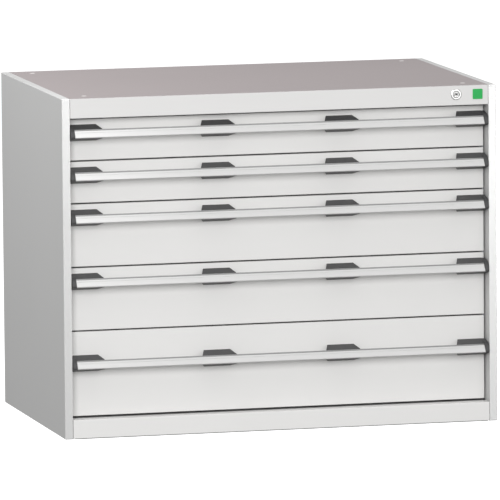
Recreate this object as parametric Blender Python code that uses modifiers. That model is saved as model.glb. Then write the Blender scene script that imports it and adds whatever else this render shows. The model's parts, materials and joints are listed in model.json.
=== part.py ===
"""Steel drawer cabinet with five full-width drawers, slanted grip rails and a central lock.

Metres, +Z up. The origin is on the floor, in the middle of the cabinet's footprint.
The drawers open towards -Y.
"""

import math

import bmesh
import bpy
from mathutils import Matrix, Vector

# Driving dimensions of the housing.
WIDTH = 1.050
DEPTH = 0.650
HEIGHT = 0.800
GRIP_REACH = 0.008
FRAME_WIDTH = 0.0187
FRAME_RETURN = 0.045
PLINTH_HEIGHT = 0.0455
FASCIA_HEIGHT = 0.0465

# Sheet thicknesses, fold radii and gaps.
CASE_SHEET = 0.0015
THIN_SHEET = 0.0012
CASE_FOLD = 0.0020
THIN_FOLD = 0.0016
SEAM = 0.0005
CLEARANCE = 0.0003

# Drawer heights from the top drawer down, and how far each grip rail is dropped. The lowest front
# reaches a little below its drawer's floor.
DRAWERS_START = 0.050
DRAWER_PITCHES = (0.100, 0.100, 0.150, 0.150, 0.200)
GRIP_DROPS = (0.0, 0.0, 0.0, 0.0, 0.0428)
FRONT_SKIRTS = (0.0, 0.0, 0.0, 0.0, 0.0035)
DRAWER_RECESS = 0.034
DRAWER_GAP = 0.0034
FRONT_HALF_WIDTH = 0.5027
FRONT_THICKNESS = 0.012
TRAY_HALF_WIDTH = 0.4657
TRAY_DEPTH = 0.5345
TRAY_LIFT = 0.004
TRAY_SHORTFALL = 0.018

# Telescopic runners: a channel on the housing, a middle rail and a channel on the tray.
RAIL_RISE = 0.045
RAIL_START = 0.078
RAIL_END = 0.581
RAIL_WALL = 0.0015
CASE_CHANNEL_INNER = 0.488
CASE_CHANNEL_OUTER = 0.5025
TRAY_CHANNEL_INNER = 0.4649
TRAY_CHANNEL_OUTER = 0.480
RUNNER_PANEL_INNER = 0.502

# Central lock.
LOCK_X = 0.427
LOCK_Z = 0.7795
LOCK_RING_RADIUS = 0.013
LOCK_BARREL_RADIUS = 0.0107
LOCK_CORE_RADIUS = 0.0081
LOCK_LIFT = 0.012
CRANK_RADIUS = LOCK_LIFT / math.sqrt(2)
CRANK_PIN_RADIUS = 0.002
PEG_RADIUS = 0.003
PEG_RISE = 0.076
PEG_DEPTH = 0.063
BAR_INNER = 0.4985
BAR_OUTER = 0.5015
BAR_FRONT = 0.056
BAR_BACK = 0.070

# Worked out from the driving dimensions.
FRONT_Y = GRIP_REACH - (DEPTH + GRIP_REACH) / 2
BACK_Y = FRONT_Y + DEPTH
HALF_WIDTH = WIDTH / 2
OPENING = HALF_WIDTH - FRAME_WIDTH
INFILL = OPENING - SEAM
FACE_Y = FRONT_Y + DRAWER_RECESS

PAINT = (0.76, 0.76, 0.75)
FINISHES = {
    "light_steel": (PAINT, 0.45, 0.0),
    "grey_steel": ((0.43, 0.39, 0.39), 0.60, 0.0),
    "zinc": ((0.62, 0.63, 0.64), 0.35, 1.0),
    "aluminium": ((0.74, 0.75, 0.76), 0.30, 1.0),
    "dark_plastic": ((0.07, 0.07, 0.07), 0.50, 0.0),
    "chrome": ((0.75, 0.75, 0.75), 0.15, 1.0),
    "badge_green": ((0.03, 0.42, 0.10), 0.40, 0.0),
}


def clear_scene():
    for old in list(bpy.data.objects):
        bpy.data.objects.remove(old, do_unlink=True)


def new_collection(name):
    collection = bpy.data.collections.new(name)
    bpy.context.scene.collection.children.link(collection)
    return collection


def new_material(name, finish):
    colour, roughness, metallic = FINISHES[finish]
    material = bpy.data.materials.new(name)
    material.use_nodes = True
    shader = material.node_tree.nodes["Principled BSDF"]
    shader.inputs["Base Color"].default_value = (*colour, 1)
    shader.inputs["Roughness"].default_value = roughness
    shader.inputs["Metallic"].default_value = metallic
    return material


def add_part(name, mesh, finish, parent=None, location=(0, 0, 0)):
    part = bpy.data.objects.new(name, mesh)
    mesh.name = name
    mesh.materials.clear()
    mesh.materials.append(new_material(name, finish))
    part.location = location
    part.parent = parent
    PARTS.objects.link(part)
    return part


def add_tool(name, mesh, parent=None, location=(0, 0, 0)):
    tool = bpy.data.objects.new(name, mesh)
    tool.location = location
    tool.parent = parent
    tool.hide_render = True
    tool.display_type = "WIRE"
    TOOLS.objects.link(tool)
    return tool


def add_pivot(name, location):
    pivot = bpy.data.objects.new(name, None)
    pivot.location = location
    PARTS.objects.link(pivot)
    return pivot


def mesh_from(bm, name="shape"):
    mesh = bpy.data.meshes.new(name)
    bmesh.ops.recalc_face_normals(bm, faces=bm.faces)
    bm.to_mesh(mesh)
    bm.free()
    return mesh


def box(low, high, bm=None):
    """A closed box between two corners, in a bmesh of its own or added to one."""
    bm = bm or bmesh.new()
    size = Vector(high) - Vector(low)
    middle = (Vector(high) + Vector(low)) / 2
    bmesh.ops.create_cube(bm, size=1, matrix=Matrix.Translation(middle) @ Matrix.Diagonal((*size, 1)))
    return bm


def cylinder(radius, axis, start, end, centre, segments, bm=None):
    """A closed cylinder along X or Y; centre holds the two coordinates across it, in X, Y, Z order."""
    bm = bm or bmesh.new()
    middle = (start + end) / 2
    if axis == "X":
        place = Matrix.Translation((middle, *centre)) @ Matrix.Rotation(math.pi / 2, 4, "Y")
    else:
        place = Matrix.Translation((centre[0], middle, centre[1])) @ Matrix.Rotation(math.pi / 2, 4, "X")
    bmesh.ops.create_cone(
        bm, cap_ends=True, segments=segments, radius1=radius, radius2=radius, depth=end - start, matrix=place
    )
    return bm


def extruded(outline, axis, start, end):
    """Mesh of a flat outline drawn out along X or Y; the outline is in (y, z) or in (x, z)."""
    curve = bpy.data.curves.new("outline", "CURVE")
    curve.dimensions = "2D"
    curve.fill_mode = "BOTH"
    curve.extrude = (end - start) / 2
    spline = curve.splines.new("POLY")
    spline.points.add(len(outline) - 1)
    for point, (across, up) in zip(spline.points, outline):
        point.co = (across, up, 0, 1)
    spline.use_cyclic_u = True
    guide = bpy.data.objects.new("outline", curve)
    bpy.context.scene.collection.objects.link(guide)
    solid = bpy.data.meshes.new_from_object(guide.evaluated_get(bpy.context.evaluated_depsgraph_get()))
    bpy.data.objects.remove(guide, do_unlink=True)
    bm = bmesh.new()
    bm.from_mesh(solid)
    bmesh.ops.remove_doubles(bm, verts=bm.verts, dist=0.00001)
    middle = (start + end) / 2
    if axis == "X":
        turn = Matrix(((0, 0, 1, middle), (1, 0, 0, 0), (0, 1, 0, 0), (0, 0, 0, 1)))
    else:
        turn = Matrix(((1, 0, 0, 0), (0, 0, -1, middle), (0, 1, 0, 0), (0, 0, 0, 1)))
    bmesh.ops.transform(bm, matrix=turn, verts=bm.verts)
    return mesh_from(bm, "extruded")


def open_box(low, high, open_sides):
    """The skin of a box without the faces whose outward directions are listed."""
    bm = box(low, high)
    gone = [face for face in bm.faces if any(face.normal.dot(Vector(side)) > 0.9 for side in open_sides)]
    bmesh.ops.delete(bm, geom=gone, context="FACES")
    return bm


def skin_mesh(bm, name="skin"):
    mesh = bpy.data.meshes.new(name)
    bm.to_mesh(mesh)
    bm.free()
    return mesh


def fold_sheet(part, thickness, radius):
    """Give an open skin rounded folds and a sheet's thickness, laid inwards."""
    folds = part.modifiers.new("folds", "BEVEL")
    folds.width = radius
    folds.segments = 2
    folds.limit_method = "ANGLE"
    sheet = part.modifiers.new("sheet", "SOLIDIFY")
    sheet.thickness = thickness
    sheet.offset = -1
    sheet.use_even_offset = True


def combine(part, tool, operation):
    change = part.modifiers.new(tool.name, "BOOLEAN")
    change.operation = operation
    change.object = tool
    change.solver = "EXACT"


def mirrored(mesh):
    """The same shape on the other side of the cabinet's middle plane."""
    bm = bmesh.new()
    bm.from_mesh(mesh)
    bmesh.ops.scale(bm, vec=(-1, 1, 1), verts=bm.verts)
    bmesh.ops.reverse_faces(bm, faces=bm.faces)
    return skin_mesh(bm, mesh.name)


def channel_outline(inner, outer, half_height, lip, opens_outwards):
    """A lipped channel's section in (x, z), for the right-hand side of the cabinet."""
    web, mouth, step = (inner, outer, 1) if opens_outwards else (outer, inner, -1)
    wall = RAIL_WALL
    upper = [
        (web, half_height),
        (mouth, half_height),
        (mouth, lip),
        (mouth - step * wall, lip),
        (mouth - step * wall, half_height - wall),
        (web + step * wall, half_height - wall),
    ]
    return upper + [(x, -z) for x, z in reversed(upper)]


def side_panels():
    """Each side is one folded sheet: wall, four flanges and a return beside the drawer fronts."""
    end_relief = 0.003
    mesh = skin_mesh(open_box((OPENING, FRONT_Y, 0), (HALF_WIDTH, BACK_Y, HEIGHT), [(-1, 0, 0)]), "side")
    fold = box(
        (OPENING, FRONT_Y + CASE_SHEET / 2, end_relief),
        (OPENING + CASE_SHEET, FRONT_Y + FRAME_RETURN, HEIGHT - end_relief),
    )
    fold = mesh_from(fold, "side_return")
    for side, skin, inner in (("right", mesh, fold), ("left", mirrored(mesh), mirrored(fold))):
        part = add_part(side + "_side_panel", skin, "light_steel")
        fold_sheet(part, CASE_SHEET, CASE_FOLD)
        combine(part, add_tool(side + "_return", inner), "UNION")


def case_sheets():
    """Back, base, top, fascia and plinth, each a folded sheet between the sides."""
    top_flange = 0.008
    fascia_depth = 0.030
    behind_frame = CASE_SHEET + CLEARANCE
    sheets = {
        "top_panel": (
            (-INFILL, FRONT_Y + behind_frame, HEIGHT - top_flange),
            (INFILL, BACK_Y, HEIGHT),
            [(0, 0, -1), (-1, 0, 0), (1, 0, 0)],
        ),
        "top_fascia": (
            (-INFILL, FRONT_Y, HEIGHT - FASCIA_HEIGHT),
            (INFILL, FRONT_Y + fascia_depth, HEIGHT),
            [(0, 0, 1), (0, 1, 0), (-1, 0, 0), (1, 0, 0)],
        ),
        "plinth_panel": (
            (-INFILL, FRONT_Y, 0),
            (INFILL, FRONT_Y + fascia_depth, PLINTH_HEIGHT),
            [(0, 1, 0), (-1, 0, 0), (1, 0, 0)],
        ),
        "base_panel": (
            (-INFILL, FRONT_Y + fascia_depth + CASE_SHEET, 0),
            (INFILL, BACK_Y, PLINTH_HEIGHT - CASE_SHEET),
            [(0, 0, -1), (0, -1, 0)],
        ),
    }
    finishes = {"top_panel": "grey_steel"}
    made = {}
    for name, (low, high, open_sides) in sheets.items():
        mesh = skin_mesh(open_box(low, high, open_sides), name)
        made[name] = add_part(name, mesh, finishes.get(name, "light_steel"))
        fold_sheet(made[name], CASE_SHEET, CASE_FOLD)
    reach = HALF_WIDTH - CASE_SHEET - SEAM
    back_face = BACK_Y - behind_frame
    low = (-reach, back_face - THIN_SHEET, PLINTH_HEIGHT - CASE_SHEET + CLEARANCE)
    add_part("back_panel", mesh_from(box(low, (reach, back_face, HEIGHT - behind_frame))), "light_steel")
    hole = cylinder(LOCK_BARREL_RADIUS + CLEARANCE, "Y", FRONT_Y - 0.01, FRONT_Y + 0.01, (LOCK_X, LOCK_Z), 32)
    combine(made["top_fascia"], add_tool("lock_hole", mesh_from(hole)), "DIFFERENCE")


def runner_panels(drawer_floors):
    """Inner panels that carry the fixed channels, one for each drawer."""
    outer = HALF_WIDTH - CASE_SHEET - CLEARANCE
    low = (RUNNER_PANEL_INNER, FRONT_Y + FRAME_RETURN + 0.002, PLINTH_HEIGHT + SEAM)
    high = (outer, FRONT_Y + 0.600, HEIGHT - 0.020)
    panel = skin_mesh(open_box(low, high, [(1, 0, 0)]), "runner_panel")
    outline = channel_outline(CASE_CHANNEL_INNER, CASE_CHANNEL_OUTER, 0.020, 0.013, False)
    channel = extruded(outline, "Y", FRONT_Y + RAIL_START - 0.003, FRONT_Y + RAIL_END + 0.009)
    rails = bmesh.new()
    for floor in drawer_floors:
        before = len(rails.verts)
        rails.from_mesh(channel)
        rails.verts.ensure_lookup_table()
        bmesh.ops.translate(rails, vec=(0, 0, floor + RAIL_RISE), verts=rails.verts[before:])
    rails = skin_mesh(rails, "fixed_channels")
    for side, skin, channels in (("right", panel, rails), ("left", mirrored(panel), mirrored(rails))):
        part = add_part("runner_panel_" + side, skin, "zinc")
        fold_sheet(part, THIN_SHEET, THIN_FOLD)
        combine(part, add_tool("fixed_channels_" + side, channels), "UNION")


def drawer_front(name, pitch, skirt, pivot):
    """A pan of folded sheet with a tongue inside for the lock."""
    half_gap = DRAWER_GAP / 2
    low = (-FRONT_HALF_WIDTH, 0, half_gap - skirt)
    high = (FRONT_HALF_WIDTH, FRONT_THICKNESS, pitch - half_gap)
    mesh = skin_mesh(open_box(low, high, [(0, 1, 0)]), name)
    part = add_part(name, mesh, "light_steel", pivot)
    fold_sheet(part, THIN_SHEET, THIN_FOLD)
    tongue_top = 0.095
    hook_front = BAR_BACK - DRAWER_RECESS
    outline = [
        (THIN_SHEET / 2, tongue_top),
        (THIN_SHEET / 2, tongue_top - 0.002),
        (hook_front, tongue_top - 0.002),
        (hook_front, PEG_RISE + PEG_RADIUS + 0.0015),
        (hook_front + 0.004, PEG_RISE + PEG_RADIUS + 0.0015),
        (hook_front + 0.004, tongue_top),
    ]
    tongue = add_tool(name + "_tongue", extruded(outline, "X", 0.490, 0.497), pivot)
    combine(part, tongue, "UNION")


def drawer_tray(name, pitch, pivot):
    """The open tray behind the front, with a runner channel on each side."""
    start = FRONT_THICKNESS + SEAM
    low = (-TRAY_HALF_WIDTH, start, TRAY_LIFT)
    high = (TRAY_HALF_WIDTH, start + TRAY_DEPTH, pitch - TRAY_SHORTFALL)
    part = add_part(name, skin_mesh(open_box(low, high, [(0, 0, 1)]), name), "light_steel", pivot)
    fold_sheet(part, THIN_SHEET, THIN_FOLD)
    outline = channel_outline(TRAY_CHANNEL_INNER, TRAY_CHANNEL_OUTER, 0.014, 0.008, True)
    outline = [(x, z + RAIL_RISE) for x, z in outline]
    channel = extruded(outline, "Y", RAIL_START - DRAWER_RECESS, RAIL_END - DRAWER_RECESS - 0.010)
    pair = bmesh.new()
    pair.from_mesh(channel)
    pair.from_mesh(mirrored(channel))
    combine(part, add_tool(name + "_channels", skin_mesh(pair, "channels"), pivot), "UNION")


def middle_rails(prefix, pivot):
    """The rails between the fixed channels and the tray's channels."""
    upper = [
        (0.4970, 0.0175),
        (0.4903, 0.0175),
        (0.4903, 0.0060),
        (0.4780, 0.0060),
        (0.4780, 0.0115),
        (0.4690, 0.0115),
    ]
    outline = [(x, z + RAIL_RISE) for x, z in upper + [(x, -z) for x, z in reversed(upper)]]
    rail = extruded(outline, "Y", RAIL_START - DRAWER_RECESS, RAIL_END - DRAWER_RECESS)
    add_part(prefix + "_middle_rail_right", rail, "zinc", pivot)
    add_part(prefix + "_middle_rail_left", mirrored(rail), "zinc", pivot)


# Points of the grip's sections, as (distance behind the housing's front plane, height above the
# drawer's upper edge line).
STRIP_TOP = (0.0030, -0.0245)
STRIP_STEP = (-0.0034, -0.0341)
STRIP_NOSE = (-0.0080, -0.0407)
STRIP_BACK = 0.0024
STRIP_HALF_LENGTH = 0.4945
CHEEK_OUTLINE = [
    (0.0337, -0.0140),
    (0.0086, -0.0192),
    (0.0010, -0.0243),
    (-0.0033, -0.0287),
    (-0.0062, -0.0360),
    (-0.0065, -0.0395),
    (-0.0050, -0.0430),
    (0.0337, -0.0500),
]
CHEEK_OUTER = 0.5047
CAP_INNER_FRONT = 0.4225
CLIP_X = 0.150
CLIP_FRONT_HALF_WIDTH = 0.0465
SIDE_FLARE = 0.35


def to_face(points, drop):
    """Move section points so that the drawer's face is y = 0 and its upper edge line is z = 0."""
    return [(y - DRAWER_RECESS, z - drop) for y, z in points]


def grip_strip(name, drop, pivot):
    """The slanted aluminium rail: a flat upper facet, a steeper lower one and a rolled lip."""
    section = [
        STRIP_TOP,
        STRIP_STEP,
        STRIP_NOSE,
        (STRIP_NOSE[0] + 0.0003, STRIP_NOSE[1] - 0.0013),
        (STRIP_NOSE[0] + 0.0016, STRIP_NOSE[1] - 0.0020),
        (STRIP_NOSE[0] + 0.0032, STRIP_NOSE[1] - 0.0010),
        (STRIP_STEP[0] + STRIP_BACK, STRIP_STEP[1] - 0.0012),
        (STRIP_TOP[0] + STRIP_BACK, STRIP_TOP[1] - 0.0012),
        (STRIP_TOP[0] + STRIP_BACK, STRIP_TOP[1]),
    ]
    mesh = extruded(to_face(section, drop), "X", -STRIP_HALF_LENGTH, STRIP_HALF_LENGTH)
    add_part(name, mesh, "aluminium", pivot)


def behind_strip(top_back, bottom_back):
    """Section of a plastic piece from the drawer's face to just behind the strip."""
    gap = 0.0004
    return [
        (DRAWER_RECESS - CLEARANCE, top_back),
        (STRIP_TOP[0] + STRIP_BACK + gap, STRIP_TOP[1] + 0.0020),
        (STRIP_TOP[0] + STRIP_BACK + gap, STRIP_TOP[1] - 0.0016),
        (STRIP_STEP[0] + STRIP_BACK + gap, STRIP_STEP[1] - 0.0012),
        (STRIP_NOSE[0] + 0.0032 + gap, STRIP_NOSE[1] - 0.0014),
        (DRAWER_RECESS - CLEARANCE, bottom_back),
    ]


def flare_end(mesh, end_x, sign):
    """Slant one end of a piece so that it narrows towards the drawer's face."""
    nose = STRIP_NOSE[0] - DRAWER_RECESS
    for vert in mesh.vertices:
        if abs(vert.co.x - end_x) < CLEARANCE:
            vert.co.x += sign * SIDE_FLARE * (vert.co.y - nose)


def grip_plastics(prefix, drop, pivot):
    """End caps and middle clips that hold the strip off the drawer's face."""
    top_back = -0.0135
    body = extruded(to_face(behind_strip(top_back, -0.0500), drop), "X", CAP_INNER_FRONT, STRIP_HALF_LENGTH + 0.002)
    flare_end(body, CAP_INNER_FRONT, 1)
    cheek = extruded(to_face(CHEEK_OUTLINE, drop), "X", STRIP_HALF_LENGTH + SEAM, CHEEK_OUTER)
    for side, shape, end in (("right", body, cheek), ("left", mirrored(body), mirrored(cheek))):
        part = add_part(prefix + "_end_cap_" + side, shape, "dark_plastic", pivot)
        combine(part, add_tool(prefix + "_cheek_" + side, end, pivot), "UNION")
    low = CLIP_X - CLIP_FRONT_HALF_WIDTH
    high = CLIP_X + CLIP_FRONT_HALF_WIDTH
    clip = extruded(to_face(behind_strip(top_back, -0.0515), drop), "X", low, high)
    flare_end(clip, low, 1)
    flare_end(clip, high, -1)
    add_part(prefix + "_clip_right", clip, "dark_plastic", pivot)
    add_part(prefix + "_clip_left", mirrored(clip), "dark_plastic", pivot)


def drawer(number, floor, pitch, grip_drop, skirt):
    prefix = f"drawer_{number}"
    pivot = add_pivot(prefix, (0, FACE_Y, floor))
    drawer_front(prefix + "_front", pitch, skirt, pivot)
    drawer_tray(prefix + "_tray", pitch, pivot)
    grip_strip(prefix + "_grip_strip", grip_drop - pitch, pivot)
    grip_plastics(prefix, grip_drop - pitch, pivot)
    middle_rails(prefix, add_pivot(prefix + "_runners", (0, FACE_Y, floor)))


def turned(name, profile, finish, location, segments=32):
    """A ring or shaft turned about the Y axis from (radius, y) points."""
    bm = bmesh.new()
    verts = [bm.verts.new((radius, y, 0)) for radius, y in profile]
    for first, second in zip(verts, verts[1:] + verts[:1]):
        bm.edges.new((first, second))
    part = add_part(name, skin_mesh(bm, name), finish, location=location)
    spin = part.modifiers.new("turn", "SCREW")
    spin.axis = "Y"
    spin.steps = segments
    spin.render_steps = segments
    spin.use_merge_vertices = True
    spin.merge_threshold = 0.00001
    spin.use_normal_calculate = True
    return part


def lock():
    """Ring and barrel in the fascia, the core with its crank, and the bar that blocks the drawers."""
    barrel_length = 0.028
    ring = 0.002
    bore = LOCK_CORE_RADIUS + CLEARANCE
    profile = [
        (bore, -CLEARANCE - ring),
        (LOCK_RING_RADIUS - 0.0008, -CLEARANCE - ring),
        (LOCK_RING_RADIUS, -CLEARANCE - ring + 0.0008),
        (LOCK_RING_RADIUS, -CLEARANCE),
        (LOCK_BARREL_RADIUS, -CLEARANCE),
        (LOCK_BARREL_RADIUS, barrel_length),
        (bore, barrel_length),
    ]
    centre = (LOCK_X, FRONT_Y, LOCK_Z)
    turned("lock_housing", profile, "chrome", centre)
    core_front = -CLEARANCE - ring + 0.0004
    crank_front = 0.046
    crank_back = 0.049
    pin_place = (CRANK_RADIUS * math.cos(math.pi / 4), -CRANK_RADIUS * math.sin(math.pi / 4))
    core = add_part(
        "lock_cylinder",
        mesh_from(cylinder(LOCK_CORE_RADIUS, "Y", core_front, crank_front + 0.001, (0, 0), 32)),
        "chrome",
        location=centre,
    )
    crank = cylinder(CRANK_RADIUS + CRANK_PIN_RADIUS + 0.001, "Y", crank_front, crank_back, (0, 0), 32)
    pin = cylinder(CRANK_PIN_RADIUS, "Y", crank_back - 0.001, BAR_FRONT + 0.005, pin_place, 16)
    slot = box((-0.0005, core_front - 0.001, -0.0035), (0.0005, core_front + 0.005, 0.0035))
    combine(core, add_tool("crank_disc", mesh_from(crank), location=centre), "UNION")
    combine(core, add_tool("crank_pin", mesh_from(pin), location=centre), "UNION")
    combine(core, add_tool("key_slot", mesh_from(slot), location=centre), "DIFFERENCE")


def lock_bar(drawer_floors):
    """Upright bar with a peg for each drawer and an arm that the crank lifts."""
    lowest = min(drawer_floors) + PEG_RISE - 0.016
    pin_x = LOCK_X + CRANK_RADIUS * math.cos(math.pi / 4)
    pin_z = LOCK_Z - CRANK_RADIUS * math.sin(math.pi / 4)
    arm_low = pin_z - 0.008
    arm_high = pin_z + 0.0085
    arm_back = FRONT_Y + BAR_FRONT + 0.003
    bar = box((BAR_INNER, FRONT_Y + BAR_FRONT, lowest), (BAR_OUTER, FRONT_Y + BAR_BACK, arm_high))
    part = add_part("lock_bar", mesh_from(bar), "zinc")
    arm = box((pin_x - 0.009, FRONT_Y + BAR_FRONT + 0.0002, arm_low), (BAR_INNER + 0.001, arm_back, arm_high - 0.0004))
    combine(part, add_tool("lock_arm", mesh_from(arm)), "UNION")
    play = 0.0006
    slot_right = pin_x + CRANK_RADIUS * (1 - math.cos(math.pi / 4)) + CRANK_PIN_RADIUS + play
    low = (pin_x - CRANK_PIN_RADIUS - play, FRONT_Y + BAR_FRONT - 0.005, pin_z - CRANK_PIN_RADIUS - play)
    high = (slot_right, arm_back + 0.005, pin_z + CRANK_PIN_RADIUS + play)
    combine(part, add_tool("crank_slot", mesh_from(box(low, high))), "DIFFERENCE")
    pegs = bmesh.new()
    for floor in drawer_floors:
        centre = (FRONT_Y + PEG_DEPTH, floor + PEG_RISE)
        cylinder(PEG_RADIUS, "X", BAR_INNER - 0.006, BAR_INNER + 0.001, centre, 16, pegs)
    combine(part, add_tool("lock_pegs", mesh_from(pegs)), "UNION")


def badge():
    size = 0.024
    thickness = 0.001
    low = (-size / 2, -CLEARANCE - thickness, -size / 2)
    mesh = mesh_from(box(low, (size / 2, -CLEARANCE, size / 2)))
    part = add_part("badge_plate", mesh, "badge_green", location=(0.4795, FRONT_Y, 0.779))
    edge = part.modifiers.new("edge", "BEVEL")
    edge.width = 0.0003
    edge.segments = 2


clear_scene()
PARTS = new_collection("drawer_cabinet")
TOOLS = new_collection("cutters")

floors = []
level = DRAWERS_START + sum(DRAWER_PITCHES)
for height in DRAWER_PITCHES:
    level -= height
    floors.append(level)

side_panels()
case_sheets()
runner_panels(floors)
for index, height in enumerate(DRAWER_PITCHES):
    drawer(index + 1, floors[index], height, GRIP_DROPS[index], FRONT_SKIRTS[index])
lock()
lock_bar(floors)
badge()
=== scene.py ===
import json
import math

import bmesh
import bpy
from mathutils import Matrix, Vector

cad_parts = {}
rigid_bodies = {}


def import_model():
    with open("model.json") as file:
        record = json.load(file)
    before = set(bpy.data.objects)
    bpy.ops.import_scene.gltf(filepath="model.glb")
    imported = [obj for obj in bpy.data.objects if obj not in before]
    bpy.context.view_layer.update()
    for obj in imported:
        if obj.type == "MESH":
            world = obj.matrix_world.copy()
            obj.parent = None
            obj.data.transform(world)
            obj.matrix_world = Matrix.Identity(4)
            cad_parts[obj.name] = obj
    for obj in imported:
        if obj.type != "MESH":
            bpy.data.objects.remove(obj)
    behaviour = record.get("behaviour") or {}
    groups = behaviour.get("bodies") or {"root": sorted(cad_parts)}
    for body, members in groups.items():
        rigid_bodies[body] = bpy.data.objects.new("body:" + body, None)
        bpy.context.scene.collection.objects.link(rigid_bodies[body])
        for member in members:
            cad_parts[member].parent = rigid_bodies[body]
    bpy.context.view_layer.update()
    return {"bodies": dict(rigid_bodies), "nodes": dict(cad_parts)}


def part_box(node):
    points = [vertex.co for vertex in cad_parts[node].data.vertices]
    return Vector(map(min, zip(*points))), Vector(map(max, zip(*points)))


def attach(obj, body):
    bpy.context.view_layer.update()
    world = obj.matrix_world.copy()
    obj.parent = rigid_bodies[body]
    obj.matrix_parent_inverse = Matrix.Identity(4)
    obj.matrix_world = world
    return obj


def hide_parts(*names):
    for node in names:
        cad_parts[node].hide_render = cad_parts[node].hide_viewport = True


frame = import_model()

# everything below is placed from these boxes
caseLow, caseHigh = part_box("right_side_panel")
frontY = caseLow.y
backY = caseHigh.y
drawerCount = sum(1 for body in frame["bodies"] if body.startswith("drawer_"))
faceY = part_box("drawer_1_front")[0].y
print("frame loaded:", len(frame["nodes"]), "nodes,", drawerCount, "drawers")


class Wire:  # an output socket that can stand in a sum
    def __init__(self, paint, socket):
        self.paint = paint
        self.socket = socket

    def sum(self, operation, first, second):
        return self.paint.node("ShaderNodeMath", {"operation": operation}, {0: first, 1: second})

    def __add__(self, other):
        return self.sum("ADD", self, other)

    def __radd__(self, other):
        return self.sum("ADD", other, self)

    def __sub__(self, other):
        return self.sum("SUBTRACT", self, other)

    def __rsub__(self, other):
        return self.sum("SUBTRACT", other, self)

    def __mul__(self, other):
        return self.sum("MULTIPLY", self, other)

    def __rmul__(self, other):
        return self.sum("MULTIPLY", other, self)


class Paint:  # one material, or the world, while it is mixed
    def __init__(self, name, fixed, store="materials", shader="Principled BSDF"):
        self.material = getattr(bpy.data, store).new(name)
        self.material.use_nodes = True
        self.nodes = self.material.node_tree.nodes
        self.links = self.material.node_tree.links
        self.shader = self.nodes[shader]
        for socket, value in fixed.items():
            self.feed(self.shader.inputs[socket], value)

    def feed(self, socket, value):
        if isinstance(value, Wire):
            self.links.new(value.socket, socket)
        elif socket.type == "RGBA":
            socket.default_value = (*value[:3], 1)
        else:
            socket.default_value = value

    def node(self, kind, settings=None, sockets=None, out=0):
        made = self.nodes.new(kind)
        for key, value in (settings or {}).items():
            setattr(made, key, value)
        for key, value in (sockets or {}).items():
            self.feed(made.inputs[key], value)
        return Wire(self, made.outputs[out])

    def place(self, stretch):
        spot = self.node("ShaderNodeTexCoord", out="Object")
        return self.node("ShaderNodeVectorMath", {"operation": "MULTIPLY"}, {0: spot, 1: stretch})

    def noise(self, size, detail, stretch=(1, 1, 1)):
        spot = self.place([s / size for s in stretch])
        sockets = {"Vector": spot, "Scale": 1.0, "Detail": detail, "Roughness": 0.5}
        return self.node("ShaderNodeTexNoise", None, sockets)

    def cells(self, size):
        spot = self.place([1 / size] * 3)
        return self.node("ShaderNodeTexVoronoi", {"feature": "F1"}, {"Vector": spot, "Scale": 1.0})

    def blend(self, share, first, second):
        return self.node("ShaderNodeMix", {"data_type": "RGBA"}, {0: share, 6: first, 7: second}, out=2)

    def spread(self, wire, low, high, edge=(0.0, 1.0)):
        sockets = {0: wire, 1: edge[0], 2: edge[1], 3: low, 4: high}
        return self.node("ShaderNodeMapRange", None, sockets)

    def bump(self, height, depth, under=None):
        sockets = {"Strength": 1.0, "Distance": depth, "Height": height}
        if under:
            sockets["Normal"] = under
        return self.node("ShaderNodeBump", None, sockets)

    def drive(self, **wires):
        names = {"colour": "Base Color", "roughness": "Roughness", "normal": "Normal"}
        for key, wire in wires.items():
            self.feed(self.shader.inputs[names[key]], wire)
        return self.material


def shade(colour, amount):
    return [min(1.0, c * amount) for c in colour]


powder = {
    "peelSize": 0.0011,
    "peelDepth": 0.000012,
    "grainSize": 0.00022,
    "grainDepth": 0.000004,
    "grainShare": 0.35,
    "driftSize": 0.30,
    "drift": 0.012,
    "roughness": (0.40, 0.50),
    "roughByPeel": 0.6,
    "gloss": {"Specular IOR Level": 0.45, "Coat Roughness": 0.25, "Coat Weight": 0.12},
}


def powderCoat(name, colour, roughness=None):
    # cured powder: low orange peel, a fine grain in it and a hardly visible drift in tone
    rough = roughness or powder["roughness"]
    paint = Paint(name, powder["gloss"])
    peel = paint.noise(powder["peelSize"], 1.0)
    grain = paint.noise(powder["grainSize"], 0.0)
    drift = paint.noise(powder["driftSize"], 3.0)
    tone = paint.spread(drift + powder["grainShare"] * grain, 0, 1, (0.45, 0.95))
    base = paint.blend(tone, shade(colour, 1 - powder["drift"]), shade(colour, 1 + powder["drift"]))
    under = paint.bump(grain, powder["grainDepth"])
    normal = paint.bump(peel, powder["peelDepth"], under=under)
    uneven = powder["roughByPeel"] * peel + (1 - powder["roughByPeel"]) * drift
    return paint.drive(colour=base, roughness=paint.spread(uneven, *rough, (0.3, 0.7)), normal=normal)


brushed = {
    "streak": 0.00035,
    "length": 0.16,
    "depth": 0.0000025,
    "wideStreaks": 7,
    "lineShare": 0.55,
    "satinSize": 0.00012,
    "satinShare": 0.25,
    "tone": (0.965, 1.02),
    "roughness": (0.30, 0.40),
}


def drawnMetal(name, colour, roughness=None):
    # anodised extrusion: die lines along its length, which is X, and a soft satin skin
    rough = roughness or brushed["roughness"]
    paint = Paint(name, {"Metallic": 1.0})
    stretch = [brushed["streak"] / brushed["length"], 1.0, 1.0]
    lines = paint.noise(brushed["streak"], 2.0, stretch)
    wide = paint.noise(brushed["streak"] * brushed["wideStreaks"], 1.0, stretch)
    satin = paint.noise(brushed["satinSize"], 0.0)
    mixed = brushed["lineShare"] * lines + (1 - brushed["lineShare"]) * wide
    dark, light = (shade(colour, amount) for amount in brushed["tone"])
    base = paint.blend(paint.spread(mixed, 0, 1, (0.3, 0.7)), dark, light)
    normal = paint.bump(mixed + brushed["satinShare"] * satin, brushed["depth"])
    return paint.drive(colour=base, roughness=paint.spread(mixed, *rough, (0.3, 0.7)), normal=normal)


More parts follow.
